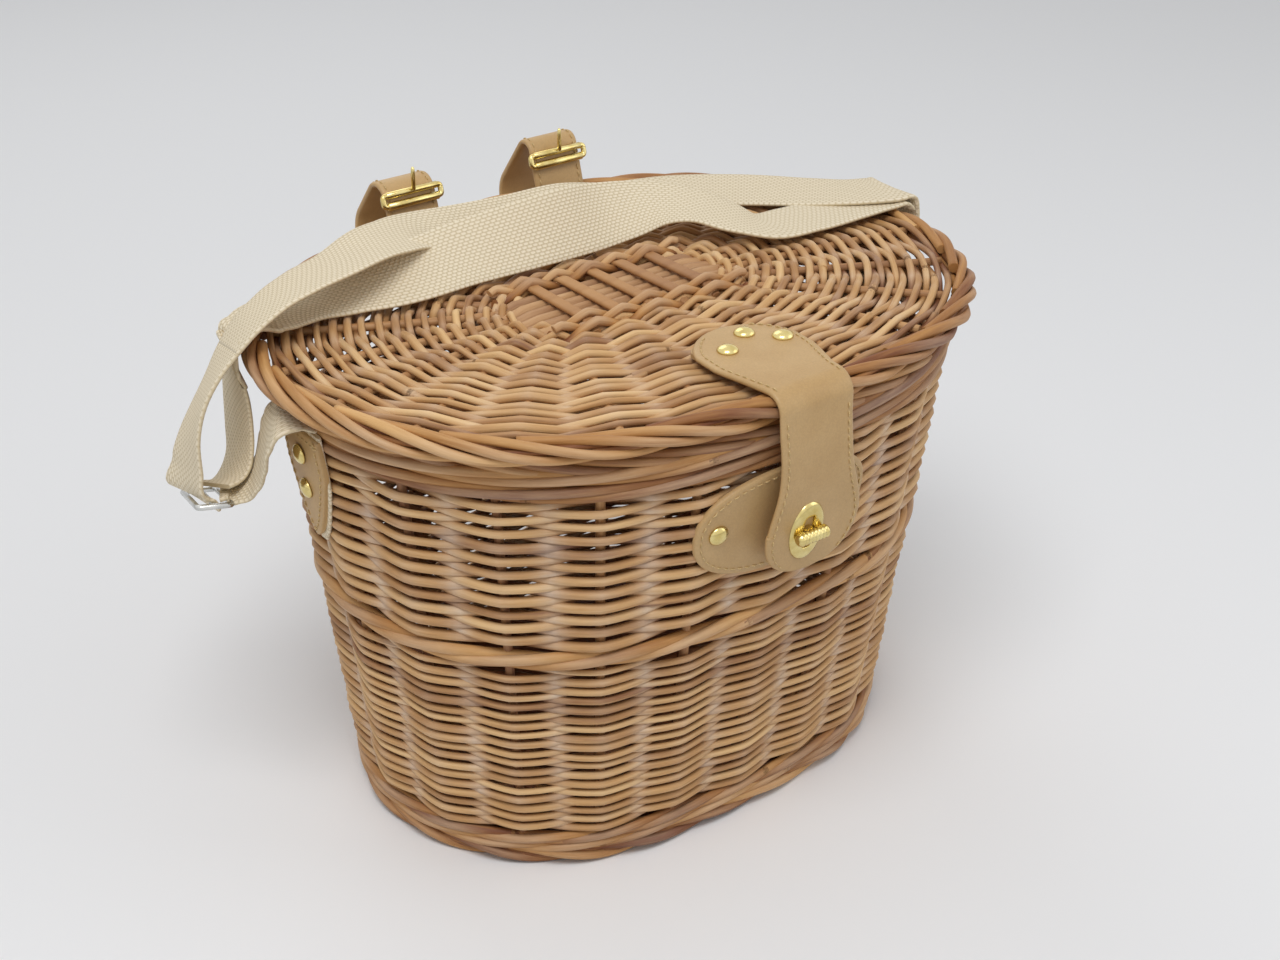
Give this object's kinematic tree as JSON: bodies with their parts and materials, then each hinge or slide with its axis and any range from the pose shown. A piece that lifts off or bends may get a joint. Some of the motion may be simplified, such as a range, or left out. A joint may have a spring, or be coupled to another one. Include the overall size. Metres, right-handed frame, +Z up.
{
  "type": "picnic basket",
  "caption": "Oval willow picnic basket with a woven lid hinged on leather straps, a leather clasp over a turn lock, end tabs and a loose webbing shoulder strap",
  "frame": {"origin": "middle of the base, on the floor that the basket stands on", "axes": "+X along the basket's length to the right as seen from the clasp side, +Y from the clasp to the lid's hinge, +Z up"},
  "size_m": [0.4311, 0.3234, 0.3015],
  "materials": {
    "willow": "dry buff willow rods with the bark off",
    "stick": "split willow sticks, smooth on the skin side",
    "leather": "smooth tan leather with stitched edges",
    "webbing": "cream cotton webbing",
    "brass": "polished brass",
    "steel": "nickel-plated steel"
  },
  "bodies": {
    "basket": {"foot_border": "willow", "base_panel": "willow", "base_sticks": "stick", "bottom_wale": "willow", "lower_side_weave": "willow", "middle_wale": "willow", "upper_side_weave": "willow", "top_wale": "willow", "top_border": "willow", "stakes": "willow", "clasp_backing": "leather", "backing_rivets": "brass", "turn_lock_base": "brass", "end_tab_left": "leather", "end_tab_right": "leather", "tab_webbing_left": "webbing", "tab_webbing_right": "webbing", "tab_rivets_left": "brass", "tab_rivets_right": "brass", "webbing_tab_strand": "webbing", "webbing_inner_strand": "webbing", "webbing_outer_strand": "webbing", "webbing_right_drop": "webbing", "slide_buckle": "steel"},
    "lid": {"lid_border": "willow", "lid_weave": "willow", "lid_centre_rods": "willow", "lid_cross_sticks": "stick", "lid_spokes": "willow", "hinge_strap_left": "leather", "hinge_strap_right": "leather", "buckle_frame_left": "brass", "buckle_frame_right": "brass", "clasp_head": "leather", "clasp_head_lining": "leather", "clasp_rivets": "brass", "clasp_fold": "leather", "webbing_front": "webbing", "webbing_back": "webbing"},
    "clasp": {"clasp_tail": "leather", "eyelet_plate": "brass"},
    "knob": {"turn_knob": "brass"},
    "prong_left": {"buckle_prong_left": "brass"},
    "prong_right": {"buckle_prong_right": "brass"}
  },
  "joints": [
    {"name": "lid_hinge", "type": "hinge", "parent": "basket", "child": "lid", "pos_m": [0, 0.1446, 0.2563], "axis": [-1, 0, 0], "range_deg": [0, 105]},
    {"name": "clasp_swing", "type": "hinge", "parent": "lid", "child": "clasp", "pos_m": [-0.003, -0.1446, 0.2563], "axis": [-1, 0, 0], "range_deg": [0, 85], "deforming": ["clasp_fold"]},
    {"name": "knob_turn", "type": "hinge", "parent": "basket", "child": "knob", "pos_m": [-0.0031, -0.15502, 0.1894], "axis": [-0.0074, -0.9886, -0.1502], "range_deg": [0, 90]},
    {"name": "prong_left_swing", "type": "hinge", "parent": "lid", "child": "prong_left", "pos_m": [-0.041, 0.12682, 0.28638], "axis": [1, 0, 0], "range_deg": [0, 90]},
    {"name": "prong_right_swing", "type": "hinge", "parent": "lid", "child": "prong_right", "pos_m": [0.0545, 0.12647, 0.28846], "axis": [1, 0, 0], "range_deg": [0, 90]}
  ]
}
